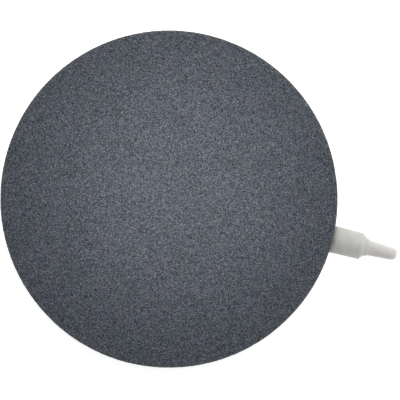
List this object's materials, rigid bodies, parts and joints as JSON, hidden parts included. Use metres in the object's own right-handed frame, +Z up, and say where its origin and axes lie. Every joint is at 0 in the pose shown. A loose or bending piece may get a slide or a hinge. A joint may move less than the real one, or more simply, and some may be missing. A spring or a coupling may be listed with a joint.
{
  "type": "air stone disc",
  "caption": "Flat round air stone of bonded mineral grains with a stepped hose nozzle glued into its rim, for aquariums and ponds.",
  "frame": {"origin": "centre of the disc's underside, on the surface that it lies on", "axes": "+Z up through the disc's thickness, +X out along the hose nozzle"},
  "size_m": [0.1568, 0.13, 0.024],
  "materials": {
    "porous_stone": "fine open grain, matt",
    "seam_glue": "satin",
    "seal_coat": "satin, brushed on",
    "milky_plastic": "milky and translucent, satin",
    "nozzle_glue": "cloudy, slightly yellow"
  },
  "bodies": {
    "root": {"upper_stone": "porous_stone", "lower_stone": "porous_stone", "seam_adhesive": "seam_glue", "base_seal_coat": "seal_coat", "inlet_nozzle": "milky_plastic", "nozzle_adhesive": "nozzle_glue"}
  },
  "joints": []
}
